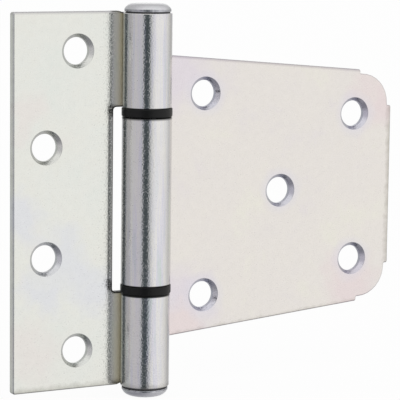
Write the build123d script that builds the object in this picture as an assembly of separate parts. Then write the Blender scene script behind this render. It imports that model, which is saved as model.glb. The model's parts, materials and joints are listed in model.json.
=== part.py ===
from build123d import *
from math import asin, cos, sin
import os

# A gate hinge: two leaves of zinc plated sheet steel, rolled round one pin, with a plastic washer above and
# below the middle knuckle. It is drawn laid open flat, as it is sold.
# +Z is up along the pin, +X runs from the post leaf to the gate leaf, and the leaves' backs face +Y.
# The origin is on the post leaf's back face, at mid height, in the middle of its screw holes.
# Every length is in millimetres.

# Sheet, pin and the fits between them
sheet = 2.66                     # 12 gauge steel
pin_diameter = 9.525             # 3/8 in
pin_fit = 0.02                   # radial gap round the pin in the post leaf's knuckles
running_fit = 0.17               # radial gap round the pin in the gate leaf's knuckle
seam_gap = 0.1                   # gap between a rolled end and the plate that it comes back to
edge_break = 0.3                 # chamfer of the leaves' edges and the knuckles' ends

# Post leaf
post_height = 114.3              # 4 1/2 in
post_reach = 41.8                # pin axis to outer edge
post_corner = 0.8
spot_face_depth = 0.4            # cut into the ends of the post leaf's knuckles, where the heads sit
spot_face_margin = 0.35          # barrel's radius to the spot face's
slot_clearance = 1.1             # middle knuckle to the slot's edge
slot_corner = 1.0
post_end_hole_reach = 20.75      # pin axis to the upper and lower screw holes
post_end_hole_spacing = 90.7
post_mid_hole_reach = 31.05      # pin axis to the two screw holes between them
post_mid_hole_spacing = 33.5

# Gate leaf
gate_reach = 91.2                # pin axis to outer edge
gate_hinge_height = 87.15        # height beside the barrel
gate_outer_height = 73.05        # height at the outer edge, before the corners are cut
gate_corner_step = 1.4           # small square step at both ends of a rounded corner
gate_corner_radius = 10.4
gate_corner = 0.6                # rounding of the steps' own corners
shoulder_clearance = 2.2         # post leaf's knuckles to the gate leaf's shoulders
shoulder_corner = 1.0
middle_knuckle = 51.0
gate_near_hole_reach = 22.8      # pin axis to the two screw holes beside the barrel
gate_near_hole_spacing = 62.9
gate_far_hole_inset = 13.95      # outer edge to the two screw holes by the corners
gate_far_hole_spacing = 46.9

# Screw holes, countersunk from the front
hole_diameter = 8.2
sink_diameter = 10.45
sink_angle = 82

# Washers
washer_thickness = 2.65
washer_overhang = 0.1            # washer's edge beyond the middle knuckle's
washer_fit = 0.1                 # radial gap round the pin
washer_play = 0.08               # gap between each washer and the middle knuckle
washer_top_edge = 0.2
washer_bottom_edge = 0.5

# Heads above and below the barrel
head_inset = 0.4                 # head's rim inside the barrel's
pin_head_height = 2.8
plug_head_height = 3.05
head_top_diameter = 8.6          # flat middle of a head's crown
head_rim = 0.8
head_groove = 0.4                # narrow neck between the barrel's end and the rim
head_groove_depth = 0.35
plug_shank = 8.0
plug_gap = 0.5                   # pin's end to the plug's shank

# Lengths that differ by less than this are the same
tolerance = 0.001

# What follows from them
pin_radius = pin_diameter / 2
post_bore = pin_radius + pin_fit
gate_bore = pin_radius + running_fit
post_barrel = post_bore + sheet
gate_barrel = gate_bore + sheet
shoulder_reach = post_barrel + shoulder_clearance
slot_reach = gate_barrel + slot_clearance
slot_half = middle_knuckle / 2 + washer_play + washer_thickness
post_half = post_height / 2
barrel_end = post_half - spot_face_depth
head_radius = post_barrel - head_inset
pin_x = (post_end_hole_reach + post_mid_hole_reach) / 2
pin_y = -post_barrel


def rolled_section(bore, reach, side):
    """Section across the pin, with the pin's axis at the origin. The plate runs to the side, its back in
    line with the back of the barrel. Its other end goes once round the pin and stops short of the plate."""
    barrel = bore + sheet
    roll_end = asin((bore - seam_gap) / barrel)
    far = 2 * barrel
    mouth = Polyline(
        (0, 0),
        (side * far * cos(roll_end), far * sin(roll_end)),
        (side * far, far),
        (0, far),
        close=True,
    )
    ring = Circle(barrel) - Circle(bore) - make_face(mouth)
    plate = Pos(side * reach / 2, bore + sheet / 2) * Rectangle(reach, sheet)
    return ring + plate


def mirrored_face(upper):
    """Face that a half outline above the X axis and its mirror image below enclose."""
    return make_face(upper + mirror(upper, about=Plane.XZ))


def post_outline():
    """Front view of the post leaf with its slot, the pin's axis upright at the origin."""
    beyond = 2 * post_barrel
    upper = FilletPolyline(
        (-post_reach, 0),
        (-post_reach, post_half),
        (beyond, post_half),
        (beyond, slot_half),
        (-slot_reach, slot_half),
        (-slot_reach, 0),
        radius=[post_corner, 0, 0, slot_corner],
    )
    return mirrored_face(upper)


def gate_outline():
    """Front view of the gate leaf: tongue, shoulders, tapered edges and stepped round corners."""
    beyond = 2 * gate_barrel
    tongue = middle_knuckle / 2
    hinge_half = gate_hinge_height / 2
    taper = (gate_hinge_height - gate_outer_height) / 2 / (gate_reach - shoulder_reach)
    arc_x = gate_reach - gate_corner_step - gate_corner_radius
    edge_z = hinge_half - taper * (arc_x - shoulder_reach)
    arc_z = edge_z - gate_corner_step - gate_corner_radius
    inner = FilletPolyline(
        (-beyond, 0),
        (-beyond, tongue),
        (shoulder_reach, tongue),
        (shoulder_reach, hinge_half),
        (arc_x, edge_z),
        (arc_x, arc_z + gate_corner_radius),
        radius=[0, shoulder_corner, gate_corner, gate_corner],
    )
    corner = CenterArc((arc_x, arc_z), gate_corner_radius, 0, 90)
    outer = FilletPolyline(
        (arc_x + gate_corner_radius, arc_z),
        (gate_reach, arc_z),
        (gate_reach, 0),
        radius=gate_corner,
    )
    return mirrored_face(inner + corner + outer)


def screw_hole(x, z, front):
    """Cutter for a screw hole at x, z, sunk from the face at y = front and straight to the back."""
    hole = CounterSinkHole(hole_diameter / 2, sink_diameter / 2, 2 * sheet, sink_angle)
    return Plane(origin=(x, front, z), x_dir=(1, 0, 0), z_dir=(0, -1, 0)) * hole


def outer_edges(leaf, bore):
    """Edges round the front and the back of a leaf and round the ends of its knuckles, without the lines
    over the pin's axis, where a flat face runs on into the roll."""
    arcs = leaf.edges().filter_by(GeomType.CIRCLE)
    rims = arcs.filter_by(lambda edge: abs(edge.radius - bore - sheet) < tolerance)
    flats = leaf.faces().filter_by(Axis.Y)
    borders = [edge for face in flats for edge in face.outer_wire().edges()]
    return rims + [edge for edge in borders if abs((edge @ 0.5).X) > tolerance]


def rolled_leaf(bore, reach, side, outline, holes):
    """A leaf: the rolled section as tall as the hinge, trimmed to its outline, with holes at (reach, z)."""
    barrel = bore + sheet
    roll = extrude(rolled_section(bore, reach, side), post_half, both=True)
    leaf = roll & extrude(Plane.XZ * outline, 2 * barrel, both=True)
    leaf = chamfer(outer_edges(leaf, bore), edge_break)
    for hole_reach, z in holes:
        leaf -= screw_hole(side * hole_reach, z, bore)
    return leaf


def spot_faced(leaf):
    """The post leaf with the ends of its barrel cut back flat and their rims chamfered."""
    cutter = Cylinder(post_barrel + spot_face_margin, 2 * spot_face_depth)
    leaf = leaf - Pos(0, 0, post_half) * cutter - Pos(0, 0, -post_half) * cutter
    arcs = leaf.edges().filter_by(GeomType.CIRCLE)
    rims = arcs.filter_by(lambda edge: abs(edge.radius - post_barrel) < tolerance)
    ends = rims.filter_by(lambda edge: abs(abs((edge @ 0.5).Z) - barrel_end) < tolerance)
    return chamfer(ends, edge_break)


def pair(hole_reach, spacing):
    """Two holes one above the other."""
    return [(hole_reach, spacing / 2), (hole_reach, -spacing / 2)]


def head_profile(head_height, shank_length):
    """Half section of a head that sits on the end of a barrel at z = 0, with its shank below."""
    neck = head_radius - head_groove_depth
    rim_top = (head_radius, head_groove + head_rim)
    crown = (head_top_diameter / 2, head_height)
    outline = Polyline(
        crown,
        (0, head_height),
        (0, -shank_length),
        (pin_radius, -shank_length),
        (pin_radius, 0),
        (neck, 0),
        (neck, head_groove),
        (head_radius, head_groove),
        rim_top,
    )
    shoulder = TangentArc(crown, rim_top, tangent=(1, 0))
    return make_face(outline + shoulder)


def headed_pin(head_height, shank_length):
    """Turned pin with its head up, the barrel's end at z = 0."""
    return revolve(Plane.XZ * head_profile(head_height, shank_length), Axis.Z)


def washer():
    """Plastic ring round the pin, with its middle at z = 0."""
    ring = Cylinder(gate_barrel + washer_overhang, washer_thickness)
    ring = chamfer(ring.edges().filter_by(GeomType.CIRCLE).sort_by(Axis.Z)[-1], washer_top_edge)
    ring = chamfer(ring.edges().filter_by(GeomType.CIRCLE).sort_by(Axis.Z)[0], washer_bottom_edge)
    return ring - Cylinder(pin_radius + washer_fit, washer_thickness)


post_holes = [
    *pair(post_end_hole_reach, post_end_hole_spacing),
    *pair(post_mid_hole_reach, post_mid_hole_spacing),
]
gate_far_hole_reach = gate_reach - gate_far_hole_inset
gate_holes = [
    *pair(gate_near_hole_reach, gate_near_hole_spacing),
    *pair(gate_far_hole_reach, gate_far_hole_spacing),
    ((gate_near_hole_reach + gate_far_hole_reach) / 2, 0),
]

washer_z = slot_half - washer_thickness / 2
pin_length = 2 * barrel_end - plug_shank - plug_gap

pieces = {
    "post_leaf": spot_faced(rolled_leaf(post_bore, post_reach, -1, post_outline(), post_holes)),
    "gate_leaf": rolled_leaf(gate_bore, gate_reach, 1, gate_outline(), gate_holes),
    "hinge_pin": Pos(0, 0, barrel_end) * headed_pin(pin_head_height, pin_length),
    "bottom_plug": Pos(0, 0, -barrel_end) * Rot(180, 0, 0) * headed_pin(plug_head_height, plug_shank),
    "upper_washer": Pos(0, 0, washer_z) * washer(),
    "lower_washer": Pos(0, 0, -washer_z) * washer(),
}

os.makedirs("parts", exist_ok=True)
for name, piece in pieces.items():
    export_step(Pos(pin_x, pin_y, 0) * piece, f"parts/{name}.step")
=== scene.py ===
# %% [markdown]
# # A zinc plated gate hinge
# Two leaves of sheet steel are rolled round one pin. The post leaf has the two outer knuckles, the gate
# leaf has the middle one, and a black nylon washer sits on each side of it. All the steel is bright zinc
# plate. The frame already has these six solids in their true places. Here each is made again as the real
# one is made: the leaves are cut as flat blanks with rounded edges and rolled, and the rest is turned or
# moulded.

# %% Load the frame
import bpy
import json
import numpy as np
from math import asin, cos, pi, radians, sin, tan
from mathutils import Matrix, Vector
from mathutils.geometry import delaunay_2d_cdt


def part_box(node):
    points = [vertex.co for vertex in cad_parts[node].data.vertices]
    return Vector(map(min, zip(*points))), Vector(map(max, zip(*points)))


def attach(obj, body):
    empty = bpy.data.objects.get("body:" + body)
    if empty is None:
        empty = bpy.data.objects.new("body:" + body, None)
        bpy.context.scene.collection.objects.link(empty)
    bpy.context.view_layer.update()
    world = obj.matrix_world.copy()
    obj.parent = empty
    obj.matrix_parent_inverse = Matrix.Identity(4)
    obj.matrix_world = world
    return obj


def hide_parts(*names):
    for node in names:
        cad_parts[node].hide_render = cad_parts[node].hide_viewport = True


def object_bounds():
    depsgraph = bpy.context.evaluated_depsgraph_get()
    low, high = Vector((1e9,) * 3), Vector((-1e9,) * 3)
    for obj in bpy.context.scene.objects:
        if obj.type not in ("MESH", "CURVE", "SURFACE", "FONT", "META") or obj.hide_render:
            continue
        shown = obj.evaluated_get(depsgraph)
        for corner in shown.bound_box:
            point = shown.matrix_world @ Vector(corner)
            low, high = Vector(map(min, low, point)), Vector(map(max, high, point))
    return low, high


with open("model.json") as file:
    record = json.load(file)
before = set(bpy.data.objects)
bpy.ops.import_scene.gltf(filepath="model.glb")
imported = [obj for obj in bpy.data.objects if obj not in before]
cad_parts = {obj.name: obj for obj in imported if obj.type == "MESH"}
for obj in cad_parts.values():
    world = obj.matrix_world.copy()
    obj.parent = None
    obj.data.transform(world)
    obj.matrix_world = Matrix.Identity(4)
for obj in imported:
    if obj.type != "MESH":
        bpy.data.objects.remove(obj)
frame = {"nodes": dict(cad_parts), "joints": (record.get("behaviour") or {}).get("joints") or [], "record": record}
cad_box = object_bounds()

from types import SimpleNamespace

scene = bpy.context.scene
scene.view_settings.view_transform = "Standard"
print("nodes:", sorted(frame["nodes"]))
print("box in mm:", [[round(1000 * v, 2) for v in corner] for corner in cad_box])

# %% [markdown]
# ## Camera
# The photograph looks at the hinge from the left and a little from above. A long lens far away keeps the
# leaves' edges nearly parallel. A camera could be placed by eye, but these values were fitted to corners
# and holes in the picture. It is set by where it aims, from how far and at which angles, and a small roll
# puts the pin as upright as it is there.

# %% Camera
aim = Vector((0.04453, -0.00733, -0.00083))
distance = 0.66973
lens_mm = 196.31
turn = radians(-28.712)
tilt = radians(7.51)
roll = radians(0.713)

back = Vector((sin(turn) * cos(tilt), -cos(turn) * cos(tilt), sin(tilt)))
level_right = Vector((cos(turn), sin(turn), 0))
level_up = back.cross(level_right)
right = cos(roll) * level_right + sin(roll) * level_up
up = cos(roll) * level_up - sin(roll) * level_right

camera = bpy.data.objects.new("camera", bpy.data.cameras.new("camera"))
camera.data.lens = lens_mm
camera.data.sensor_width = 36
camera.data.clip_start = 0.01
turned_to_view = Matrix((right, up, back)).transposed().to_4x4()
camera.matrix_world = Matrix.Translation(aim + distance * back) @ turned_to_view
scene.collection.objects.link(camera)
scene.camera = camera
print("camera at, in mm:", [round(1000 * v, 1) for v in camera.matrix_world.translation])

# %% [markdown]
# ## Colours and nodes
# Colours are written as sRGB hex values, as a colour picker shows them, and a shader wants them linear.
# Every node tree below is made with one function that adds a node, sets it and links it. A node's kind is
# its name in Blender without ShaderNode in front, and a socket goes by number or name. In a Map Range node
# 0 is the value, 1 and 2 are the range that is read, and 3 and 4 are the range that is given. In a Mix node
# for colours 0 is the share, 6 and 7 are the colours, and output 2 is the result.


# %% Colour and node helpers
def linear(hex_colour):
    """Linear RGBA of an sRGB hex colour: below 0.04045 a straight line, above it a power of 2.4."""
    parts = [int(hex_colour[i:i + 2], 16) / 255 for i in (1, 3, 5)]
    return [*(c / 12.92 if c < 0.04045 else ((c + 0.055) / 1.055) ** 2.4 for c in parts), 1]


def add(tree, kind, sockets=None, stops=None, out=0, **settings):
    """Adds a node, with settings as its properties, sockets as its input values or links, and stops as the
    (place, hex colour) pairs of its colour ramp. Gives the output with that number or name, or all outputs
    where it is None."""
    node = tree.nodes.new("ShaderNode" + kind)
    for name, value in settings.items():
        setattr(node, name, value)
    for socket, value in (sockets or {}).items():
        if isinstance(value, bpy.types.NodeSocket):
            tree.links.new(value, node.inputs[socket])
        else:
            node.inputs[socket].default_value = value
    if stops:
        elements = node.color_ramp.elements
        while len(elements) < len(stops):
            elements.new(1)
        for element, (place, hex_colour) in zip(elements, stops):
            element.position = place
            element.color = linear(hex_colour)
    return node.outputs if out is None else node.outputs[out]


print("mid grey #808080 is linear", round(linear("#808080")[0], 3))

# %% [markdown]
# ## Light tent
# Bright metal shows its surroundings more than itself. Such small goods are photographed in a light tent: a
# white box with soft light through its walls and a gap for the lens. The pale side wall makes the leaves
# pale, and the gap is the dark stripe down the barrel. Lamps and panels could do the same. The tent is
# painted in the world instead, by compass angle, because a smooth gradient there needs no lamp and adds no
# noise.

# %% Colours of the tent walls
# Degrees from straight in front, positive to the right, and the wall's colour there
tent_walls = [
    (-180, "#C8CBC9"),
    (-148, "#C6C8C8"),
    (-139, "#B2B6B3"),
    (-128, "#BFC3C0"),
    (-112, "#C4C7C5"),
    (-103, "#CFD0D0"),
    (-75, "#D1CFD4"),
    (-60, "#D0CED4"),
    (-47, "#C6C8CD"),
    (-40, "#4C5457"),
    (-20, "#4C5457"),
    (-12, "#C0C3C6"),
    (0, "#ECEDED"),
    (15, "#FFFFFF"),
    (50, "#FFFFFF"),
    (75, "#F1F1EF"),
    (92, "#D9D9D7"),
    (108, "#C0C0BE"),
    (130, "#CECECE"),
    (138, "#FFFFFF"),
    (165, "#FFFFFF"),
    (173, "#C9CBCA"),
]
print("tent walls:", len(tent_walls), "colours round the compass")

# %% Tent walls
world = bpy.data.worlds.new("light_tent")
scene.world = world
world.use_nodes = True
tent = world.node_tree
tent.nodes.clear()
direction = add(tent, "TexCoord", out="Generated")
rightward, backward, upward = add(tent, "SeparateXYZ", {0: direction}, out=None)
forward = add(tent, "Math", {0: backward, 1: -1}, operation="MULTIPLY")
compass = add(tent, "Math", {0: rightward, 1: forward}, operation="ARCTAN2")
around = add(tent, "MapRange", {0: compass, 1: -pi, 2: pi})
wall_stops = [((angle + 180) / 360, colour) for angle, colour in tent_walls]
walls = add(tent, "ValToRGB", {0: around}, wall_stops)
print("nodes for the walls:", len(tent.nodes))

# %% [markdown]
# ## Roof and base of the tent
# The roof is brighter in front than behind, which gives the heads a bright crown. Less light comes from
# below, least of all on the left, so edges that face down are darker. Both go over softly into the walls.

# %% Roof and base
roof_front = "#FFFFFF"
roof_back = "#D0D0D0"
base_left = "#94949A"
base_right = "#C6C6C8"
# Where these colours begin and end, as the part of a direction that points back, right or up
roof_fade = (-0.3, 0.6)
base_fade = (-0.4, 0.5)
roof_edge = (0.2, 0.6)
base_edge = (-0.22, -0.65)
# Settings of a Mix node for colours
mixes = {"data_type": "RGBA", "out": 2}

behind = add(tent, "MapRange", {0: backward, 1: roof_fade[0], 2: roof_fade[1]})
roof = add(tent, "Mix", {0: behind, 6: linear(roof_front), 7: linear(roof_back)}, **mixes)
beside = add(tent, "MapRange", {0: rightward, 1: base_fade[0], 2: base_fade[1]})
base = add(tent, "Mix", {0: beside, 6: linear(base_left), 7: linear(base_right)}, **mixes)
rise = add(tent, "MapRange", {0: upward, 1: roof_edge[0], 2: roof_edge[1]})
roofed = add(tent, "Mix", {0: rise, 6: walls, 7: roof}, **mixes)
fall = add(tent, "MapRange", {0: upward, 1: base_edge[0], 2: base_edge[1]})
whole_tent = add(tent, "Mix", {0: fall, 6: roofed, 7: base}, **mixes)
print("roof:", roof_front, "to", roof_back, " base:", base_left, "to", base_right)

# %% [markdown]
# ## White background
# The backdrop opposite the lens is white in the tent, and the metal sees it there. A white plane behind the
# hinge would serve one view only. Instead camera rays see that white all round, so that every view has the
# same background.

# %% White background
white = add(tent, "Background", {"Color": linear("#FFFFFF"), "Strength": 1})
glow = add(tent, "Background", {"Color": whole_tent, "Strength": 1})
camera_ray = add(tent, "LightPath", out="Is Camera Ray")
seen = add(tent, "MixShader", {0: camera_ray, 1: glow, 2: white})
add(tent, "OutputWorld", {"Surface": seen}, out=None)
print("nodes in the tent:", len(tent.nodes))

# %% [markdown]
# ## Floor
# A pale sheet under the pin's lower end. To the camera it is nearly all glow, so it stays white and keeps a
# faint shadow. A curved backdrop could be built, but in a white tent a flat sheet looks the same. The metal
# sees the tent instead of the floor, as it would on a glass shelf.

# %% Floor
floor_size = 8.0

floor_z = cad_box[0].z
floor_corners = floor_size / 2 * np.array([(-1, -1, 0), (1, -1, 0), (1, 1, 0), (-1, 1, 0)])
floor_mesh = bpy.data.meshes.new("floor")
floor_mesh.from_pydata((floor_corners + (0, 0, floor_z)).tolist(), [], [(0, 1, 2, 3)])
floor = bpy.data.objects.new("floor", floor_mesh)
scene.collection.objects.link(floor)
floor.visible_glossy = False
print("floor at z mm:", round(1000 * floor_z, 2))

# %% Floor paper
floor_glow = 0.95

# Uncoated white paper, matt all over: it shows soft shadows and no highlight
paper = bpy.data.materials.new("white_paper_sheet")
paper.use_nodes = True
fibre = paper.node_tree
fibre.nodes.clear()
matt = add(fibre, "BsdfDiffuse", {"Color": linear("#F4F4F4")})
shine = add(fibre, "Emission", {"Color": linear("#FFFFFF"), "Strength": 1})
camera_ray = add(fibre, "LightPath", out="Is Camera Ray")
share = add(fibre, "Math", {0: camera_ray, 1: floor_glow}, operation="MULTIPLY")
both = add(fibre, "MixShader", {0: share, 1: matt, 2: shine})
add(fibre, "OutputMaterial", {"Surface": both}, out=None)
floor_mesh.materials.append(paper)
print("share of the floor that glows to the camera:", floor_glow)

# %% [markdown]
# ## Measures
# The shapes are worked out in millimetres, as on a workshop drawing, and turned to metres when a mesh is
# made. The pin's place and the holes come from the frame, and the rest repeats the solids' own measures.

# %% Measures in millimetres
sheet = 2.66
pin_radius = 9.525 / 2
pin_fit = 0.02
running_fit = 0.17
spot_face = 0.4

pin_x, pin_y, _ = (1000 * v for v in frame["joints"][0]["pos_m"])
post_top = 1000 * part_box("post_leaf")[1].z
post_bore = pin_radius + pin_fit
gate_bore = pin_radius + running_fit
barrel = post_bore + sheet
barrel_end = post_top - spot_face
print("pin axis at:", round(pin_x, 3), round(pin_y, 3), " barrel radius:", round(barrel, 3))

# %% [markdown]
# ## Rounded paths
# Almost every outline here is a polygon with rounded corners: a leaf's blank, a head's section, a washer's
# section, a countersink. One function gives its points and, at each point, the direction straight out of
# it. Exact normals matter on bright metal, where the eye follows reflections across an edge.


# %% Rounded paths
def rounded_path(corners, steps=9):
    """Closed path through corners of (across, up, radius), anticlockwise, and its outward normals. At each
    corner the normal turns evenly from one side's to the next's, and the point is the arc's centre plus the
    radius along the normal (minus, at an inner corner). The centre lies on the corner's bisector."""
    corners = np.array(corners, float)
    place = corners[:, :2]
    ahead = np.roll(place, -1, 0) - place
    heading = np.arctan2(ahead[:, 1], ahead[:, 0])
    arriving = np.roll(heading, 1)
    turning = (heading - arriving + pi) % (2 * pi) - pi
    angle = arriving[:, None] - pi / 2 + turning[:, None] * np.linspace(0, 1, steps)
    normal = np.stack((np.cos(angle), np.sin(angle)), -1)
    radius = corners[:, 2] * np.sign(turning)
    first, last = normal[:, 0], normal[:, -1]
    centre = place - (radius / (1 + (first * last).sum(1)))[:, None] * (first + last)
    points = centre[:, None] + radius[:, None, None] * normal
    return points.reshape(-1, 2), normal.reshape(-1, 2)


square = rounded_path([(0, 0, 1), (9, 0, 1), (9, 9, 1), (0, 9, 1)])
print("points round a square:", len(square[0]))

# %% [markdown]
# ## From arrays to a piece
# A band of quads joins the rows of a grid, each row a closed loop. Faces are turned until they agree with
# the normals of their corners, so no step has to think about winding. Then the arrays go into a mesh, the
# piece rides on its body and stands for its solid.


# %% From arrays to a piece
def band(rows, columns, first=0, closed=False):
    """Quads between the rows of a grid whose rows are closed loops; closed also joins the last row to the
    first."""
    index = first + np.arange(rows * columns).reshape(rows, columns)
    if closed:
        index = np.concatenate((index, index[:1]))
    beside = np.roll(index, -1, 1)
    return np.stack((index[:-1], beside[:-1], beside[1:], index[1:]), -1).reshape(-1, 4)


def facing_out(faces, points, normals):
    """The same faces, each in the order whose own normal agrees with the sum of its corners' normals."""
    a, b, c = (points[faces[:, i]] for i in (0, 1, 2))
    inward = (np.cross(b - a, c - a) * normals[faces].sum(1)).sum(1) < 0
    return np.where(inward[:, None], faces[:, ::-1], faces)


def make_piece(name, points, normals, faces, node, body):
    """Mesh object from points in millimetres about the pin's axis, standing for a solid of the frame."""
    mesh = bpy.data.meshes.new(name)
    faces = [face for group in faces for face in facing_out(group, points, normals).tolist()]
    mesh.from_pydata(((points + (pin_x, pin_y, 0)) / 1000).tolist(), [], faces)
    mesh.polygons.foreach_set("use_smooth", np.ones(len(faces), bool))
    mesh.normals_split_custom_set_from_vertices(normals.tolist())
    piece = bpy.data.objects.new(name, mesh)
    scene.collection.objects.link(piece)
    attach(piece, body)
    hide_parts(node)
    print(name, "points:", len(points), "faces:", len(faces))
    return piece


print("quads in a band of 3 rows by 8:", len(band(3, 8)))

# %% [markdown]
# ## A rolled leaf
# The real leaf is punched from sheet, drilled and countersunk, and its tongues are rolled round a mandrel.
# A bent solid could be bevelled instead, but the same steps as in the workshop keep every edge clean. The
# blank is drawn flat, with s along the sheet from the pin's axis, z up and t through the sheet from its
# front. First a rounded edge is carried round the outline. Rolling presses the tongues' edges sharper, and
# the punch draws the sheet down a little more along the slot.

# %% Edge of a blank
edge_round = 0.5
roll_round = 0.25
# The edge goes from the roll's rounding to the full one between these s
roll_sharpens = (-4, 0)
slot_draw = 0.4


def edge_section(steps=5):
    """Section of a sheared edge from front to back, as rows of (inset, t, share outwards, share to the
    back): a quarter circle, the sheared wall and another quarter circle."""
    angle = np.linspace(0, pi / 2, steps)
    inset = edge_round * (1 - np.sin(angle))
    front = edge_round * (1 - np.cos(angle))
    first = np.stack((inset, front, np.sin(angle), -np.cos(angle)), 1)
    return np.concatenate((first, (first * (1, -1, 1, -1) + (0, sheet, 0, 0))[::-1]))


def carried_edge(path, normal):
    """Edge section carried round a path: each point steps back from the path along its normal by the
    section's inset. The section is smaller on the rolls and larger on edges that face the pin. Gives points
    and normals as (s, z, t) on a grid of section by path."""
    inset, t, out, through = (row[:, None] for row in edge_section().T)
    s, z = path.T
    along, upright = normal.T
    size = np.interp(s, roll_sharpens, (roll_round / edge_round, 1))
    size = size + slot_draw * np.where(s > 0, np.maximum(-along, 0), 0)
    inset = inset * size
    depth = np.where(t < sheet / 2, t * size, sheet - (sheet - t) * size)
    points = np.stack((s - inset * along, z - inset * upright, depth), -1)
    normals = np.stack((out * along, out * upright, through * np.ones(len(path))), -1)
    return points, normals


print("rows in an edge's section:", len(edge_section()))

# %% [markdown]
# ## Countersunk holes
# A screw's flat head sits in a cone of 82 degrees, cut from the front over a plain drilled hole. A Boolean
# could cut it, but would leave sharp rims and uneven normals. Here the section of the metal round a hole is
# one rounded path, carried round a circle, so its rims are soft and catch the light.

# %% Countersunk hole of a blank
hole_radius = 4.1
sink_radius = 5.225
sink_angle = 82
sink_depth = (sink_radius - hole_radius) / tan(radians(sink_angle / 2))


def hole_section(steps=5):
    """Section of a countersunk hole from front to back, as rows of (radius, t, share outwards, share to the
    back): the rounded path of the metal round it, without its two far corners."""
    far = sink_radius + 2
    corners = [
        (far, 0, 0),
        (far, sheet, 0),
        (hole_radius, sheet, 0.3),
        (hole_radius, sink_depth, 0.4),
        (sink_radius, 0, 0.2),
    ]
    path, normal = rounded_path(corners, steps)
    return np.concatenate((path, normal), 1)[2 * steps:][::-1]


def carried_hole(s, z, ring=72):
    """Hole section carried round a circle about (s, z), as (s, z, t) on a grid of section by circle."""
    angle = np.arange(ring) * 2 * pi / ring
    radius, t, out, through = (row[:, None] for row in hole_section().T)
    circle = np.ones(ring)
    points = np.stack((s + radius * np.cos(angle), z + radius * np.sin(angle), t * circle), -1)
    normals = np.stack((out * np.cos(angle), out * np.sin(angle), through * circle), -1)
    return points, normals


print("countersink depth:", round(sink_depth, 3))

# %% [markdown]
# ## Flat faces
# What is left between the edge and the holes is flat. A net of triangles fills it, and because the whole
# face has one normal, its uneven triangles don't show. The tongues are going to bend, so they get narrow
# strips across instead, from one edge to the other.

# %% Net of a flat face
net_merge = 1e-7
level_edge = 1e-12


def filled(loops, points):
    """Triangles between closed loops of point numbers: a Delaunay net with the loops as fixed edges, less
    the triangles whose middle has an even number of loop edges to its right."""
    numbers = np.concatenate(loops)
    flat = points[numbers, :2]
    ends = np.cumsum([len(loop) for loop in loops])
    following = np.arange(len(numbers)) + 1
    following[ends - 1] = np.concatenate(([0], ends[:-1]))
    edges = np.stack((np.arange(len(numbers)), following), 1)
    net = delaunay_2d_cdt(flat.tolist(), edges.tolist(), [], 0, net_merge)
    same = np.array([origin[0] for origin in net[3]])
    triangles = same[np.array(net[2])]
    middle = flat[triangles].mean(1)
    start, end = flat[edges[:, 0]], flat[edges[:, 1]]
    straddles = (start[:, 1] > middle[:, 1:]) != (end[:, 1] > middle[:, 1:])
    rise = np.where(np.abs(end[:, 1] - start[:, 1]) < level_edge, 1, end[:, 1] - start[:, 1])
    crossing = start[:, 0] + (middle[:, 1:] - start[:, 1]) / rise * (end[:, 0] - start[:, 0])
    inside = (straddles & (crossing > middle[:, :1])).sum(1) % 2 == 1
    return numbers[triangles[inside]]


print("triangles in that square:", len(filled([np.arange(len(square[0]))], square[0])))

# %% Strips across the tongues
# A length below this counts as nothing
tiny = 1e-6


def with_columns(path, normal, columns):
    """The same path with more points: one wherever a level side crosses one of the columns."""
    ahead = np.roll(path, -1, 0) - path
    level = (np.abs(ahead[:, 1]) < tiny) & (np.abs(ahead[:, 0]) > tiny)
    run = np.where(level, ahead[:, 0], 1)
    share = (columns - path[:, :1]) / run[:, None]
    side, column = np.nonzero(level[:, None] & (share > tiny) & (share < 1 - tiny))
    part = share[side, column]
    added = path[side] + part[:, None] * ahead[side]
    order = np.argsort(np.concatenate((np.arange(len(path)), side + part)))
    return np.concatenate((path, added))[order], np.concatenate((normal, normal[side]))[order]


def tongue_strips(loop, points):
    """Quads across each tongue: the loop's points past the pin's axis, joined to those opposite them."""
    past = np.nonzero(points[loop, 0] < tiny)[0]
    quads = []
    for run in np.split(loop[past], np.nonzero(np.diff(past) > 1)[0] + 1):
        pairs = np.stack((run, run[::-1]), 1)[:len(run) // 2]
        quads.append(np.concatenate((pairs[:-1], pairs[1:, ::-1]), 1))
    return np.concatenate(quads)


print("points round that square with a column:", len(with_columns(*square, np.array([5.0]))[0]))

# %% [markdown]
# ## Rolling
# Past the pin's axis, length along the sheet becomes angle round the pin. A modifier could bend the blank,
# but this is one formula for all points at once, and it turns the exact normals with them.

# %% Rolling
seam_gap = 0.1


def rolled(points, normals, bore, side):
    """Rolls (s, z, t) round the pin. Where s is positive the sheet runs straight to the side, its front a
    bore from the axis. Where s is negative the sheet has turned by -s over the radius of its middle, and a
    point is at bore plus t from the axis. Normals turn with it."""
    s, z, t = points.T
    angle = np.maximum(-s, 0) / (bore + sheet / 2)
    reach = bore + t
    place = np.stack((side * (np.maximum(s, 0) - reach * np.sin(angle)), reach * np.cos(angle), z), 1)
    along, upright, through = normals.T
    x = side * (along * np.cos(angle) - through * np.sin(angle))
    y = along * np.sin(angle) + through * np.cos(angle)
    return place, np.stack((x, y, upright), 1)


def roll_length(bore):
    """Length along the sheet's middle from the plate to the rolled end: three quarters of a turn, and then
    on until the end's outer corner is a seam's gap short of the plate."""
    return (1.5 * pi + asin((bore - seam_gap) / (bore + sheet))) * (bore + sheet / 2)


print("rolled lengths:", round(roll_length(post_bore), 2), round(roll_length(gate_bore), 2))

# %% [markdown]
# ## From a blank to a leaf
# The edge, the holes and the flat faces share their points, so the leaf is one closed skin. The mesh keeps
# each point's place on the blank and whether it is on a cut surface, because the plating's marks follow the
# blank.

# %% Skin of a blank
roll_columns = 121
end_margin = 0.8


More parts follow.
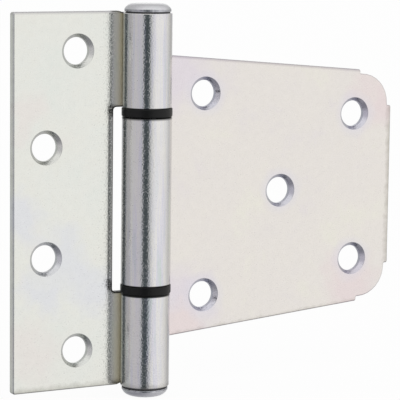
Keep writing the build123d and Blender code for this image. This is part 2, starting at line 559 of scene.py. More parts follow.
def blank_skin(outline, holes, bore):
    """Points and normals of a blank as (s, z, t), its faces, and the number of points on its edge, which
    come first. Columns across the tongues let them bend."""
    columns = -np.linspace(0, roll_length(bore) - end_margin, roll_columns)
    path, normal = with_columns(*rounded_path(outline), columns)
    grids = [carried_edge(path, normal), *(carried_hole(s, z) for s, z in holes)]
    points = np.concatenate([grid[0].reshape(-1, 3) for grid in grids])
    normals = np.concatenate([grid[1].reshape(-1, 3) for grid in grids])
    sizes = np.array([grid[0].shape[:2] for grid in grids])
    firsts = np.concatenate(([0], np.cumsum(sizes.prod(1))[:-1]))
    faces = [band(rows, across, first) for (rows, across), first in zip(sizes, firsts)]
    for row in (0, -1):
        loops = [np.arange(n * m).reshape(n, m)[row] + first for (n, m), first in zip(sizes, firsts)]
        flat = loops[0][points[loops[0], 0] > -tiny]
        faces += [filled([flat, *loops[1:]], points), tongue_strips(loops[0], points)]
    return points, normals, faces, sizes[0].prod()


print("columns across a tongue:", roll_columns)

# %% From a blank to a leaf
mounts = {mount["name"]: mount for mount in frame["record"]["mounts"]}


def make_leaf(name, outline, holes, bore, side, node, body):
    """A leaf from its blank's outline and its holes at (s, z). The attributes sheared and drilled say how
    far a point of the edge or of a hole faces away from the sheet's front and back."""
    points, normals, faces, edge_points = blank_skin(outline, holes, bore)
    place, facing = rolled(points, normals, bore, side)
    piece = make_piece(name, place, facing, faces, node, body)
    blank = piece.data.attributes.new("blank", "FLOAT_VECTOR", "POINT")
    blank.data.foreach_set("vector", points.astype(np.float32).ravel())
    steep = np.hypot(normals[:, 0], normals[:, 1])
    on_edge = np.arange(len(points)) < edge_points
    for finish, where in (("sheared", on_edge), ("drilled", ~on_edge)):
        share = piece.data.attributes.new(finish, "FLOAT", "POINT")
        share.data.foreach_set("value", (steep * where).astype(np.float32))
    return piece


def hole_places(side, *names):
    """Holes of a leaf as (s, z), from the mounts of that name: two, one above the other, or one."""
    places = []
    for name in names:
        s = side * (1000 * mounts[name]["pos_m"][0] - pin_x)
        half = mounts[name]["dims"].get("spacing_y_mm", 0) / 2
        places += [(s, half), (s, -half)] if half else [(s, 0)]
    return places


print("mounts:", sorted(mounts))

# %% [markdown]
# ## Post leaf
# The narrow leaf is a plain rectangle with a slot for the middle knuckle, which leaves a tongue above and
# one below. Its corners are nearly square, as a shear leaves them. The ends of the barrel are faced off a
# little below the plate's edges, where the heads sit.

# %% Post leaf
post_reach = 41.8
slot_half = 28.23
slot_clearance = 1.1
step_reach = 5.8
step_ramp = 1.2

slot_reach = gate_bore + sheet + slot_clearance
post_end = -roll_length(post_bore)
# Corners of the upper half as (s, z, rounding)
upper = [
    (post_reach, post_top, 0.8),
    (step_reach + step_ramp, post_top, 1.2),
    (step_reach, barrel_end, 1.2),
    (post_end, barrel_end, 0.6),
    (post_end, slot_half, 0.6),
    (slot_reach, slot_half, 1.0),
]
post_outline = upper + [(s, -z, radius) for s, z, radius in reversed(upper)]
post_holes = hole_places(-1, "post_end_screws", "post_mid_screws")
post_leaf = make_leaf("post_leaf_rolled", post_outline, post_holes, post_bore, -1, "post_leaf", "post")

# %% [markdown]
# ## Gate leaf
# The wide leaf tapers away from the barrel. Its two outer corners are punched round with a tool a little
# too small for them, which leaves a small square step at each end of the curve.

# %% Gate leaf
gate_reach = 91.2
middle_half = 25.5
hinge_half = 87.15 / 2
outer_half = 73.05 / 2
shoulder_clearance = 2.2
corner_step = 1.4
corner_radius = 10.4
step_round = 0.4

gate_end = -roll_length(gate_bore)
shoulder = barrel + shoulder_clearance
gate_taper = (hinge_half - outer_half) / (gate_reach - shoulder)
arc_x = gate_reach - corner_step - corner_radius
edge_z = hinge_half - gate_taper * (arc_x - shoulder)
arc_top = edge_z - corner_step
arc_z = arc_top - corner_radius
# Corners of the upper half as (s, z, rounding)
upper = [
    (gate_reach, arc_z, 0.6),
    (gate_reach - corner_step, arc_z, step_round),
    (gate_reach - corner_step, arc_top, corner_radius - 2 * step_round),
    (arc_x, arc_top, step_round),
    (arc_x, edge_z, 0.6),
    (shoulder, hinge_half, 0.6),
    (shoulder, middle_half, 1.0),
    (gate_end, middle_half, 0.6),
]
gate_outline = upper + [(s, -z, radius) for s, z, radius in reversed(upper)]
gate_holes = hole_places(1, "gate_near_screws", "gate_far_screws", "gate_centre_screw")
gate_leaf = make_leaf("gate_leaf_rolled", gate_outline, gate_holes, gate_bore, 1, "gate_leaf", "gate")

# %% [markdown]
# ## Pin, plug and washers
# These are round, turned on a lathe or moulded, so each is a section carried once round the pin's axis. A
# modifier could spin the section too, but whole arrays also give the exact normals.


# %% Turning
def carried_round(path, normal, ring):
    """Rows of a section carried round the axis: x and y are the radius times the cosine and sine of the
    angle."""
    angle = np.arange(ring) * 2 * pi / ring
    circle = np.stack((np.cos(angle), np.sin(angle), np.ones(ring)), -1)
    points = path[:, None, [0, 0, 1]] * circle
    normals = normal[:, None, [0, 0, 1]] * circle
    return points.reshape(-1, 3), normals.reshape(-1, 3)


def turned_ring(section, ring=96):
    """Points, normals and quads of a closed section of (radius, height, rounding) corners."""
    path, normal = rounded_path(section, 7)
    return *carried_round(path, normal, ring), [band(len(path), ring, 0, True)]


square_section = [(1, 0, 0), (2, 0, 0), (2, 1, 0), (1, 1, 0)]
print("faces of a square ring:", len(turned_ring(square_section)[2][0]))


# %% Turned solids
def turned_solid(section, ring=96, steps=7):
    """Like a ring, but the section starts and ends on the axis, where the rows close to one point each."""
    path, normal = rounded_path(section, steps)
    path, normal = path[steps - 1:1 - steps], normal[steps - 1:1 - steps]
    rows = len(path) - 2
    inner, facing = carried_round(path[1:-1], normal[1:-1], ring)
    low, high = (0, 0, path[0, 1]), (0, 0, path[-1, 1])
    points = np.concatenate(([low], inner, [high]))
    normals = np.concatenate(([(0, 0, -1)], facing, [(0, 0, 1)]))
    around = 1 + np.arange(ring)
    top = around + (rows - 1) * ring
    fans = np.concatenate((
        np.stack((np.zeros(ring, int), around, np.roll(around, -1)), 1),
        np.stack((np.full(ring, len(points) - 1), top, np.roll(top, -1)), 1),
    ))
    return points, normals, [band(rows, ring, 1), fans]


cylinder = [(0, 0, 0), (1, 0, 0), (1, 1, 0), (0, 1, 0)]
print("points of a turned cylinder:", len(turned_solid(cylinder)[0]))

# %% [markdown]
# ## Headed pin and plug
# A head has a flat crown that falls to a short rim in one soft arc, and a narrow groove between the rim and
# the barrel's end. The pin goes in from above, and a plug with the same head closes the barrel from below.

# %% Section of a head
head_inset = 0.4
groove_depth = 0.35
head_radius = barrel - head_inset
neck_radius = head_radius - groove_depth
shoulder_height = 1.2
crown_radius = 4.3
# The crown's rounding ends a little before the rim's begins
crown_share = 0.94


def headed_section(shank, height, groove):
    """Half section of a headed pin, with the barrel's end at height 0 and the shank below it. The crown is
    flat in the middle and falls to the rim in one arc of radius (run^2 + drop^2) / (2 drop), level where it
    starts, so its two tangents meet at the arc's radius times tan(half its angle) from either end."""
    run = head_radius - crown_radius
    drop = height - shoulder_height
    arc = (run ** 2 + drop ** 2) / (2 * drop)
    meet = crown_radius + arc * tan(asin(run / arc) / 2)
    return [
        (0, -shank, 0),
        (pin_radius, -shank, 0.5),
        (pin_radius, 0, 0.05),
        (neck_radius, 0, 0.05),
        (neck_radius, groove, 0.1),
        (head_radius, groove, 0.15),
        (head_radius, shoulder_height, 0.3),
        (meet, height, crown_share * arc),
        (0, height, 0),
    ]


print("head radius:", round(head_radius, 3), " neck radius:", round(neck_radius, 3))

# %% Pin and plug
pin_head = 2.8
pin_groove = 0.4
plug_head = 3.05
plug_groove = 0.6
plug_shank = 8.0
plug_gap = 0.5
pin_length = 2 * barrel_end - plug_shank - plug_gap

pin_points, pin_normals, pin_faces = turned_solid(headed_section(pin_length, pin_head, pin_groove))
pin = make_piece(
    "hinge_pin_turned",
    pin_points + (0, 0, barrel_end),
    pin_normals,
    pin_faces,
    "hinge_pin",
    "post",
)
plug_points, plug_normals, plug_faces = turned_solid(headed_section(plug_shank, plug_head, plug_groove))
plug = make_piece(
    "bottom_plug_turned",
    plug_points * (1, 1, -1) - (0, 0, barrel_end),
    plug_normals * (1, 1, -1),
    plug_faces,
    "bottom_plug",
    "post",
)

# %% [markdown]
# ## Washers
# Two moulded rings keep the knuckles from rubbing on each other. They stand a little proud of the middle
# knuckle, and their lower edge has the larger rounding. One section, carried round once, makes both.

# %% Washers
washer_thickness = 2.65
washer_overhang = 0.1
washer_fit = 0.1
washer_outside = gate_bore + sheet + washer_overhang
washer_inside = pin_radius + washer_fit
# Corners as (radius, height, rounding)
washer_section = [
    (washer_outside, 0, 0.5),
    (washer_outside, washer_thickness, 0.25),
    (washer_inside, washer_thickness, 0.1),
    (washer_inside, 0, 0.1),
]
washer_points, washer_normals, washer_faces = turned_ring(washer_section)
washers = [
    make_piece(
        f"{place}_washer_moulded",
        washer_points + (0, 0, low),
        washer_normals,
        washer_faces,
        f"{place}_washer",
        "post",
    )
    for place, low in (("upper", slot_half - washer_thickness), ("lower", -slot_half))
]

# %% [markdown]
# ## Zinc plate
# The sheet is cold rolled steel, electroplated with bright zinc and passivated. Zinc is a pale, slightly
# blue metal, and the passivate over it is a film so thin that it tints the reflections: cream and pale
# green on the flats, lilac and green in streaks along the rolls. A picture could hold these tints. Noise on
# the blank's own coordinates needs no picture and goes round the roll without stretching.

# %% Tints that wander
tint_start = 0.32
tint_span = 0.36


def streaked(tree, place, size, tints):
    """Colour that wanders through tints over a noise of the given size in millimetres along three axes. The
    tints are spread over the middle third of the noise, where most of its values lie."""
    shrunk = add(tree, "Mapping", {0: place, "Scale": [1 / length for length in size]})
    sockets = {"Vector": shrunk, "Scale": 1, "Detail": 6, "Roughness": 0.75, "Distortion": 0.3}
    noise = add(tree, "TexNoise", sockets)
    spread = [tint_start + tint_span * i / (len(tints) - 1) for i in range(len(tints))]
    return add(tree, "ValToRGB", {0: noise}, list(zip(spread, tints)))


print("tints lie between", tint_start, "and", round(tint_start + tint_span, 2), "of the noise")

# %% [markdown]
# ## Patches of thicker film
# Where the bath ran off slowly the film is thicker and its tint stronger: pale blue low on the post leaf,
# lilac beside the barrel, pink at the gate leaf's corners, and a lilac halo round each of that leaf's
# holes. They could be painted by hand. Here each is a soft disc whose outline is pushed about by noise, so
# that it looks run and not painted.

# %% Patches of film
film_shift = 20
halo_shift = 4
film_wave = 9
film_core = 0.3


def filmed(tree, place, colour, films, shift):
    """Thicker film in patches of (s, z, radius, tint): each is full in its core and fades to its radius,
    measured from a place that slow noise shifts by up to half of shift, which makes the patches ragged."""
    noise = add(tree, "TexNoise", {"Vector": place, "Scale": 1 / film_wave, "Detail": 4}, out="Color")
    sockets = {0: noise, 1: (shift, shift, 0), 2: place}
    shifted = add(tree, "VectorMath", sockets, operation="MULTIPLY_ADD")
    for s, z, radius, tint in films:
        sockets = {0: shifted, 1: (s + shift / 2, z + shift / 2, 0)}
        gap = add(tree, "VectorMath", sockets, operation="DISTANCE", out="Value")
        near = add(tree, "MapRange", {0: gap, 1: radius, 2: film_core * radius})
        colour = add(tree, "Mix", {0: near, 6: colour, 7: linear(tint)}, **mixes)
    return colour


print("patches are shifted by up to", film_shift / 2, "mm, halos by up to", halo_shift / 2)

# %% [markdown]
# ## Places on a blank
# Stains and painted shade have their places on the leaf: beside the barrel, along an edge, at a knuckle's
# end. The mesh carries its place on the blank, so one function reads it and gives each finish below the
# lengths and shares that it needs.

# %% Places on a blank
roll_begins = (2, -1)
front_face = (0.5, 0.1)


def blank_places(tree):
    """Sockets with a point's place on the blank, its s, z and t, and shares from 0 to 1: past the pin's
    axis, not past it, on the front face, on a sheared edge and in a drilled hole."""
    place = add(tree, "Attribute", attribute_name="blank", out="Vector")
    s, z, t = add(tree, "SeparateXYZ", {0: place}, out=None)
    past_pin = add(tree, "MapRange", {0: s, 1: roll_begins[0], 2: roll_begins[1]})
    return SimpleNamespace(
        place=place,
        s=s,
        z=z,
        t=t,
        past_pin=past_pin,
        on_flat=add(tree, "Math", {0: 1, 1: past_pin}, operation="SUBTRACT"),
        on_front=add(tree, "MapRange", {0: t, 1: front_face[0], 2: front_face[1]}),
        edge=add(tree, "Attribute", attribute_name="sheared", out="Fac"),
        drilled=add(tree, "Attribute", attribute_name="drilled", out="Fac"),
    )


print("the roll's finish begins at s =", roll_begins)

# %% [markdown]
# ## Stain in the crevice
# Where the roll comes back to the plate, the bath stays in the narrow crevice and dries to an olive stain.
# It lies only on the front and fades towards the open plate, so a colour ramp along the sheet is enough.

# %% Stain in the crevice
crevice_width = 10
# Shares of that width from the pin's axis, and the stain there. The last one covers the open plate
crevice_stains = [
    (0, "#FFFFFF"),
    (0.45, "#FBF4DC"),
    (0.64, "#E8E2CA"),
    (0.78, "#FDFCEC"),
    (0.92, "#FFFFFF"),
]
multiplies = {**mixes, "blend_type": "MULTIPLY"}


def stained(tree, at, colour):
    """Colour times the crevice's stain, on the front."""
    share = add(tree, "MapRange", {0: at.s, 1: 0, 2: crevice_width})
    stain = add(tree, "ValToRGB", {0: share}, crevice_stains)
    return add(tree, "Mix", {0: at.on_front, 6: colour, 7: stain}, **multiplies)


print("stain stops:", len(crevice_stains))

# %% [markdown]
# ## Painted shade at the edges
# The leaves darken towards their lower and outer edges in ragged bands: painted shade for the sheet's slow
# roll-over there, which turns from the light. The top edge only has a thin painted dark line, for the shade
# of its top wall. Both could be painted on the mesh, but on the blank the gap to an edge is a short sum, and
# noise makes it ragged.

# %% Painted shade at the edges
# Painted shade towards the lower and outer edges, and a painted dark line along the top edge
shade_noise_size = 2.5
edge_shade_tint = "#D8D7D4"
top_line = (1.0, 0.1)
top_shade_tint = "#DBD9DE"


def shade_edges(tree, at, colour, half_height, taper, reach, start, full):
    """Colour darkened along the edges of a leaf whose half height is half_height less taper times s, and
    whose outer edge is at reach. The gap to the lower or outer edge, whichever is less, plus noise, darkens
    from start to full."""
    # Painted shade: darker towards the lower and outer edges, in ragged bands
    half = add(tree, "Math", {0: at.s, 1: -taper, 2: half_height}, operation="MULTIPLY_ADD")
    above = add(tree, "Math", {0: half, 1: at.z}, operation="ADD")
    inside = add(tree, "Math", {0: reach, 1: at.s}, operation="SUBTRACT")
    gap = add(tree, "Math", {0: above, 1: inside}, operation="MINIMUM")
    shade_noise = add(tree, "TexNoise", {"Vector": at.place, "Scale": 1 / shade_noise_size, "Detail": 3})
    ragged = add(tree, "Math", {0: shade_noise, 1: shade_noise_size, 2: gap}, operation="MULTIPLY_ADD")
    share = add(tree, "MapRange", {0: ragged, 1: start, 2: full})
    colour = add(tree, "Mix", {0: share, 6: colour, 7: linear(edge_shade_tint)}, **multiplies)

    # Painted shade: a thin dark line along the top edge
    below = add(tree, "Math", {0: half, 1: at.z}, operation="SUBTRACT")
    line = add(tree, "MapRange", {0: below, 1: top_line[0], 2: top_line[1]})
    share = add(tree, "Math", {0: line, 1: at.on_flat}, operation="MULTIPLY")
    return add(tree, "Mix", {0: share, 6: colour, 7: linear(top_shade_tint)}, **multiplies)


print("runs of", shade_noise_size, "mm, top line of", top_line[0], "mm")

# %% [markdown]
# ## Painted shade at the washers and the slot
# The knuckles' lips are darkened where they meet the washers: painted shade between the parts. Beside the
# slot one thin painted dark line stands for the shade at the slot's front edge. All of these are straight on
# the blank, so each is drawn by the distance from one place along it.

# %% Painted shade at the lips
# Painted shade where a knuckle's end meets a washer
lip_shade = "#404040"


def close_to(tree, length, place, start, full):
    """Share that goes from 0 to 1 as a length's distance from a place falls from start to full."""
    offset = add(tree, "Math", {0: length, 1: place}, operation="SUBTRACT")
    gap = add(tree, "Math", {0: offset}, operation="ABSOLUTE")
    return add(tree, "MapRange", {0: gap, 1: start, 2: full})


def shaded(tree, at, colour, lips):
    """Colour darkened on the rolls at knuckle ends of (z, start, full)."""
    # Painted shade on each lip
    for lip in lips:
        near = close_to(tree, at.z, *lip)
        share = add(tree, "Math", {0: near, 1: at.past_pin}, operation="MULTIPLY")
        colour = add(tree, "Mix", {0: share, 6: colour, 7: linear(lip_shade)}, **multiplies)
    return colour


print("worn lips:", lip_shade)

# %% Painted dark line beside the slot
# Painted shade: a thin dark line that stands for the shade at the slot's front edge
arris_shade_tint = "#B2B2B4"
line_width = (0.38, 0.1)


def arris_shade(tree, at, colour, lines):
    """Colour darkened on the front in upright lines of (s, half length)."""
    # Painted dark line on the front, along the slot
    for middle, half_length in lines:
        near = close_to(tree, at.s, middle, *line_width)
        inside = close_to(tree, at.z, 0, half_length, half_length - 1)
        share = add(tree, "Math", {0: near, 1: inside}, operation="MULTIPLY")
        share = add(tree, "Math", {0: share, 1: at.on_front}, operation="MULTIPLY")
        colour = add(tree, "Mix", {0: share, 6: colour, 7: linear(arris_shade_tint)}, **multiplies)
    return colour


print("pressed line:", arris_shade_tint)

# %% [markdown]
# ## Cut edges and holes
# A shear leaves a bright wall with a darker arris on each side, darkest at the back, where the burr was.
# Edges on the flat close beside the barrel, the slot's walls among them, are coloured nearly black: painted
# shade and a painted reflection of the black washers and knuckle there. The holes are a shade darker than
# the plate. Faces with a second material could do this, but the mesh already says how far each point is on a
# cut, and a share goes over without a seam.

# %% Cut edges and holes
# Shares of the sheet's thickness from the front, and the wall's tint there
arris_tints = [
    (0.05, "#ECECF2"),
    (0.2, "#F2F2F6"),
    (0.3, "#FFFFFF"),
    (0.75, "#FFFFFF"),
    (0.88, "#B0B0B6"),
]
# Painted shade and painted reflection of the black washers on the walls beside the barrel
slot_shade_colour = "#464644"
slot_begins = (10.2, 9.4)
slot_arris = (0.2, 0.7)


def cut(tree, at, colour, hole_tint):
    """Colour times the sheared wall's tint on the edges, painted shade nearly black on the walls beside the
    barrel, and colour times the hole's tint in the holes."""
    sheared = add(tree, "Math", {0: at.edge, 1: at.on_flat}, operation="MULTIPLY")
    depth = add(tree, "MapRange", {0: at.t, 1: 0, 2: sheet})
    wall = add(tree, "ValToRGB", {0: depth}, arris_tints)
    colour = add(tree, "Mix", {0: sheared, 6: colour, 7: wall}, **multiplies)

    # Painted shade and reflection: walls beside the barrel go nearly black
    in_slot = add(tree, "MapRange", {0: at.s, 1: slot_begins[0], 2: slot_begins[1]})
    steep = add(tree, "MapRange", {0: sheared, 1: slot_arris[0], 2: slot_arris[1]})
    slot_shade = add(tree, "Math", {0: in_slot, 1: steep}, operation="MULTIPLY")
    colour = add(tree, "Mix", {0: slot_shade, 6: colour, 7: linear(slot_shade_colour)}, **mixes)
    return add(tree, "Mix", {0: at.drilled, 6: colour, 7: linear(hole_tint)}, **multiplies)


print("arris stops:", len(arris_tints), " slot steel:", slot_shade_colour)

# %% [markdown]
# ## Grain and shine
# Zinc grows in grains of some hundredths of a millimetre. Some are duller than others, and together they
# make a fine orange peel that frays the edges of the reflections. Over them lies a slow cloudiness. Such
# grains are far below a pixel, so they are drawn about ten times as coarse to show. In the crevice the
# plate is duller and smoother, because fresh bath hardly gets there. The peel could be relief in the mesh,
# but a bump so low needs no faces of its own.

# %% Speckle of zinc grains
grain_size = 0.6
grain_shade = 0.98
mottle_size = 2.2
mottle_shade = 0.982


def speckled(tree, at, colour, grains):
    """Colour times two noises: the grains take off up to 2 percent, and a slow mottle up to 1.8 percent."""
    mottle = add(tree, "TexNoise", {"Vector": at.place, "Scale": 1 / mottle_size, "Detail": 2})
    for noise, darkest in ((grains, grain_shade), (mottle, mottle_shade)):
        shade = add(tree, "MapRange", {0: noise, 1: 0.35, 2: 0.65, 3: darkest, 4: 1})
        colour = add(tree, "Mix", {0: 1, 6: colour, 7: shade}, **multiplies)
    return colour


print("grain drawn at", grain_size, "mm, mottle at", mottle_size, "mm")

# %% Shine of the plate
bright = 0.09
dull_grain = 0.3
cut_dulls = 0.1
# Where the crevice and the plate beside it begin to be duller and are dullest, and by how much
crevice_dulls = (10, 8.5, 0.16)
beside_dulls = (13, 9.5, 0.06)


def shine_of_plate(tree, at, grains):
    """Roughness: bright, with the largest grains dull, raised on cut surfaces, in the crevice and, less, on
    the plate beside it."""
    start, full, most = crevice_dulls
    crevice = add(tree, "MapRange", {0: at.s, 1: start, 2: full, 3: 0, 4: most})
    least = add(tree, "Math", {0: crevice, 1: at.on_flat, 2: bright}, operation="MULTIPLY_ADD")
    grainy = add(tree, "MapRange", {0: grains, 1: 0.5, 2: 0.7, 3: least, 4: dull_grain})
    cuts = add(tree, "Math", {0: at.edge, 1: at.drilled}, operation="ADD")
    grainy = add(tree, "Math", {0: cuts, 1: cut_dulls, 2: grainy}, operation="MULTIPLY_ADD")
    start, full, most = beside_dulls
    beside = add(tree, "MapRange", {0: at.s, 1: start, 2: full, 3: 0, 4: most})
    return add(tree, "Math", {0: beside, 1: at.on_flat, 2: grainy}, operation="MULTIPLY_ADD")


print("roughness from", bright, "to", dull_grain)

# %% Orange peel
# Size and height of the grain and of the slow waves under it
plate_grain = (0.45, 0.05)
plate_waves = (9, 0.012)
flat_peel = 0.45
crevice_peel = 0.12
crevice_ends = (8.2, 10.2)


def grained(tree, place, grain_mm, grain_height, wave_mm, wave_height, strength=1):
    """Normal of a surface with fine grain over slow waves, both noise of a size and height in millimetres.
    The grain can be weaker in places."""
    waves = add(tree, "TexNoise", {"Vector": place, "Scale": 1 / wave_mm, "Detail": 1})
    grain = add(tree, "TexNoise", {"Vector": place, "Scale": 1 / grain_mm, "Detail": 1})
    wavy = add(tree, "Bump", {"Height": waves, "Distance": wave_height / 1000})
    sockets = {"Height": grain, "Distance": grain_height / 1000, "Normal": wavy, "Strength": strength}
    return add(tree, "Bump", sockets)


def peel_of_plate(tree, at):
    """Normal of the plate: full orange peel on the rolls, less on the flats and least in the crevice."""
    start, full = crevice_ends
    on_flats = add(tree, "MapRange", {0: at.s, 1: start, 2: full, 3: crevice_peel, 4: flat_peel})
    strength = add(tree, "MapRange", {0: at.past_pin, 3: on_flats, 4: 1})
    return grained(tree, at.place, *plate_grain, *plate_waves, strength)


print("orange peel on rolls, flats and in the crevice:", 1, flat_peel, crevice_peel)

# %% [markdown]
# ## Plate of a whole leaf
# The finishes go on one over the other: film and stain from the bath, then painted shade at the edges, at
# the knuckles' ends and in a line beside the slot, then cut edges, with painted shade on the walls beside the
# barrel, and grain. One function makes them for both leaves. Each leaf has its own tints, because each hung
# in its own place in the bath.

# %% Plate of a whole leaf
flat_patch = (26, 26, 26)
roll_streak = (2.6, 70, 20)
roll_tints = ["#CAD4CF", "#D9D7E1", "#E4E2DE", "#DCDBE0", "#D9E1D6"]


def zinc_sheet(name, flat_tints, films, halos, hole_tint, rim, lips, lines):
    """Bright zinc plate of a leaf. It gives the eye a pale satin mirror with a breath of colour, crisp on
    the rolls and softer on the flats."""
    material = bpy.data.materials.new(name)
    material.use_nodes = True
    tree = material.node_tree
    at = blank_places(tree)
    flats = streaked(tree, at.place, flat_patch, flat_tints)
    flats = filmed(tree, at.place, flats, films, film_shift)
    flats = filmed(tree, at.place, flats, halos, halo_shift)
    rolls = streaked(tree, at.place, roll_streak, roll_tints)
    colour = add(tree, "Mix", {0: at.past_pin, 6: flats, 7: rolls}, **mixes)
    colour = stained(tree, at, colour)
    # Painted shade at the edges
    colour = shade_edges(tree, at, colour, *rim)
    # Painted shade where the knuckles meet the washers
    colour = shaded(tree, at, colour, lips)
    # Painted dark line at the slot's front edge
    colour = arris_shade(tree, at, colour, lines)
    # Cut edges, with painted shade on the walls beside the barrel
    colour = cut(tree, at, colour, hole_tint)
    grains = add(tree, "TexNoise", {"Vector": at.place, "Scale": 1 / grain_size, "Detail": 2})
    colour = speckled(tree, at, colour, grains)

    metal = tree.nodes["Principled BSDF"]
    metal.inputs["Metallic"].default_value = 1
    tree.links.new(colour, metal.inputs["Base Color"])
    tree.links.new(shine_of_plate(tree, at, grains), metal.inputs["Roughness"])
    tree.links.new(peel_of_plate(tree, at), metal.inputs["Normal"])
    print(name, "nodes:", len(tree.nodes))
    return material


print("a patch on a flat is", flat_patch[0], "mm, a streak on a roll", roll_streak[0], "by", roll_streak[1])

# %% Plate of the post leaf
blue_film = "#E1E2E4"
cream_film = "#E7E3DE"
post_tints = ["#E3E6E0", "#E6E7E1", "#E7E7E0", "#E7E4DF"]
# Patches as (s, z, radius, tint)
post_films = [
    (40, -5, 9, blue_film),
    (28, -14, 11, blue_film),
    (21, -21, 9, blue_film),
    (15, -28, 10, blue_film),
    (32, -27, 9, blue_film),
    (38, 27, 8, cream_film),
    (35, -45, 12, cream_film),
]
# Half height, taper and reach of the painted edge shade, and where it starts and is full. Its reach is
# past the outer edge, which stays bright
post_edge_shade = (post_top, 0, post_reach + 2, 3.4, 1.4)
# Painted shade at the knuckles' ends, as (z, start, full)
post_lips = [(-slot_half, 0.66, 0.4), (slot_half, 0.42, 0.15)]
# Painted dark line beside the slot, as (s, half length)
slot_shade_line = (10.32, slot_half)
post_zinc = zinc_sheet(
    "zinc_plate_post_leaf",
    post_tints,
    post_films,
    [],
    "#F4F4F6",
    post_edge_shade,
    post_lips,
    [slot_shade_line],
)

# %% Plate of the gate leaf
pink_film = "#E7DBDA"
lilac_film = "#E2DBE0"
halo_film = "#DFDCE4"
gate_tints = ["#E5DFDE", "#E7E2DD", "#E8E3DD", "#E9E6DC"]
# Patches as (s, z, radius, tint), and a halo round each hole
gate_films = [
    (15, 38, 13, lilac_film),
    (15, -33, 15, lilac_film),
    (14, -40, 9, pink_film),
    (86, 27, 11, pink_film),
    (78, -32, 13, pink_film),
]
halo_radius = 8
gate_halos = [(s, z, halo_radius, halo_film) for s, z in gate_holes]
# Half height at the pin's axis, taper and reach of the painted edge shade, and where it starts and is full
gate_edge_shade = (hinge_half + gate_taper * shoulder, gate_taper, gate_reach - 0.9, 2.5, 0.5)
# Painted shade at the middle knuckle's ends, as (z, start, full)
gate_lips = [(middle_half, 0.8, 0.15), (-middle_half, 0.42, 0.15)]
gate_zinc = zinc_sheet(
    "zinc_plate_gate_leaf",
    gate_tints,
    gate_films,
    gate_halos,
    "#EAEEF7",
    gate_edge_shade,
    gate_lips,
    [],
)

# %% [markdown]
# ## Turned heads
# The pin and the plug are turned from bar and plated with the leaves. Turning leaves rings too fine to see
# one by one, which dull the shine a little. Anisotropic shine could show them, but at this size a plain,
# rougher one looks the same. The rim is knocked against other pins in the plating drum, so it is darker and
# speckled. The neck in the narrow groove under a head is a dull, nearly black metal: painted shade for the
# dark of the groove.

# %% Plain metal
bar_grain = 0.7
bar_waves = (5, 0.005)


def in_millimetres(tree):
    """Object coordinates with one unit to the millimetre."""
    coordinates = add(tree, "TexCoord", out="Object")
    return add(tree, "Mapping", {0: coordinates, "Scale": (1000, 1000, 1000)})


def metal_finish(name, tints, size, roughness, grain_height):
    """Plain metal whose colour wanders between tints in patches of a size in millimetres, with a grain."""
    material = bpy.data.materials.new(name)
    material.use_nodes = True
    tree = material.node_tree
    place = in_millimetres(tree)
    metal = tree.nodes["Principled BSDF"]
    metal.inputs["Metallic"].default_value = 1
    metal.inputs["Roughness"].default_value = roughness
    tree.links.new(streaked(tree, place, (size, size, size), tints), metal.inputs["Base Color"])
    tree.links.new(grained(tree, place, bar_grain, grain_height, *bar_waves), metal.inputs["Normal"])
    print(name, "tints:", *tints)
    return material


print("grain of turned bar:", bar_grain, "mm")

# %% Turned heads
# Zinc over fine turning rings: a soft, broad shine
head_zinc = metal_finish("zinc_plate_turned", ["#CCCCD0", "#D7D6DA", "#D0D4D4"], 4, 0.24, 0.045)
# The same on the plug, in paler tints
plug_zinc = metal_finish("zinc_plate_plug", ["#DADADE", "#E6E5E9", "#DFE3E3"], 4, 0.24, 0.045)
# Zinc that was knocked in the drum: dark specks and a blunter shine
rim_zinc = metal_finish("zinc_plate_rim", ["#6E6D72", "#A9AAB0", "#C4C4C9", "#B4B8B8"], 1.1, 0.32, 0.05)
# Painted shade in the groove under a head: a dull, nearly black metal on the neck
neck_shade = metal_finish("neck_painted_shade", ["#4E4E50", "#5C5B5C"], 4, 0.5, 0.01)

# %% [markdown]
# ## Black nylon
# The washers are moulded nylon 6, filled with carbon black. It is nearly black, with the soft shine and the
# fine grain of a spark eroded mould. A plain rough plastic comes close, but a little relief breaks up the
# highlight as on the real ring.

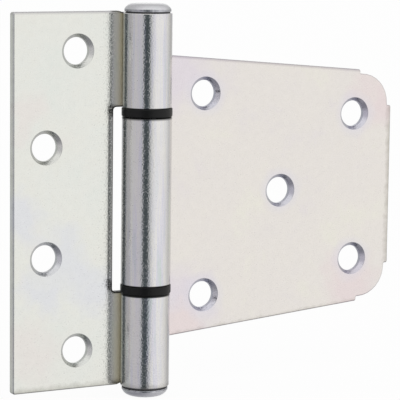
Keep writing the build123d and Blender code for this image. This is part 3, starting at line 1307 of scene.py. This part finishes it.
# %% Black nylon
mould_grain = (0.6, 0.02)
mould_waves = (6, 0.02)

# The grain spreads the highlights, so that the eye sees a dark grey sheen along the rim and no mirror
nylon = bpy.data.materials.new("black_nylon_moulded")
nylon.use_nodes = True
resin = nylon.node_tree
plastic = resin.nodes["Principled BSDF"]
plastic.inputs["Base Color"].default_value = linear("#0B0B0B")
plastic.inputs["Roughness"].default_value = 0.4
plastic.inputs["IOR"].default_value = 1.53
plastic.inputs["Specular IOR Level"].default_value = 0.25
nylon_grain = grained(resin, in_millimetres(resin), *mould_grain, *mould_waves)
resin.links.new(nylon_grain, plastic.inputs["Normal"])
print("nylon nodes:", len(resin.nodes))

# %% [markdown]
# ## Finishes on the pieces
# Each piece gets its finish. A head gets three: the plate, painted shade on the neck in its groove and the
# speckled rim. It could be split into pieces, but its faces are easily told apart by their height above the
# barrel's end and their distance from the axis.

# %% Finishes on the pieces
plated = ((post_leaf, post_zinc), (gate_leaf, gate_zinc), (pin, head_zinc), (plug, plug_zinc))
for piece, material in plated:
    piece.data.materials.append(material)
for washer in washers:
    washer.data.materials.append(nylon)
print("finished pieces:", len(plated) + len(washers))

# %% Necks and rims of the heads
rim_top = shoulder_height - 0.24
neck_reach = head_radius - 0.1

for piece, end, groove in ((pin, barrel_end, pin_groove), (plug, -barrel_end, plug_groove)):
    # The groove's painted shade, then the rim's finish
    piece.data.materials.append(neck_shade)
    piece.data.materials.append(rim_zinc)
    centres = np.empty(3 * len(piece.data.polygons), np.float32)
    piece.data.polygons.foreach_get("center", centres)
    x, y, z = (centres.reshape(-1, 3) * 1000 - (pin_x, pin_y, end)).T
    height = z * np.sign(end)
    from_axis = np.hypot(x, y)
    # The neck's faces take the painted shade of the groove
    on_neck = (np.abs(height) < groove) & (from_axis < neck_reach)
    on_rim = (height > groove) & (height < rim_top) & (from_axis > neck_radius)
    piece.data.polygons.foreach_set("material_index", (on_neck + 2 * on_rim).astype(np.int32))
    print(piece.name, "neck faces:", on_neck.sum(), "rim faces:", on_rim.sum())
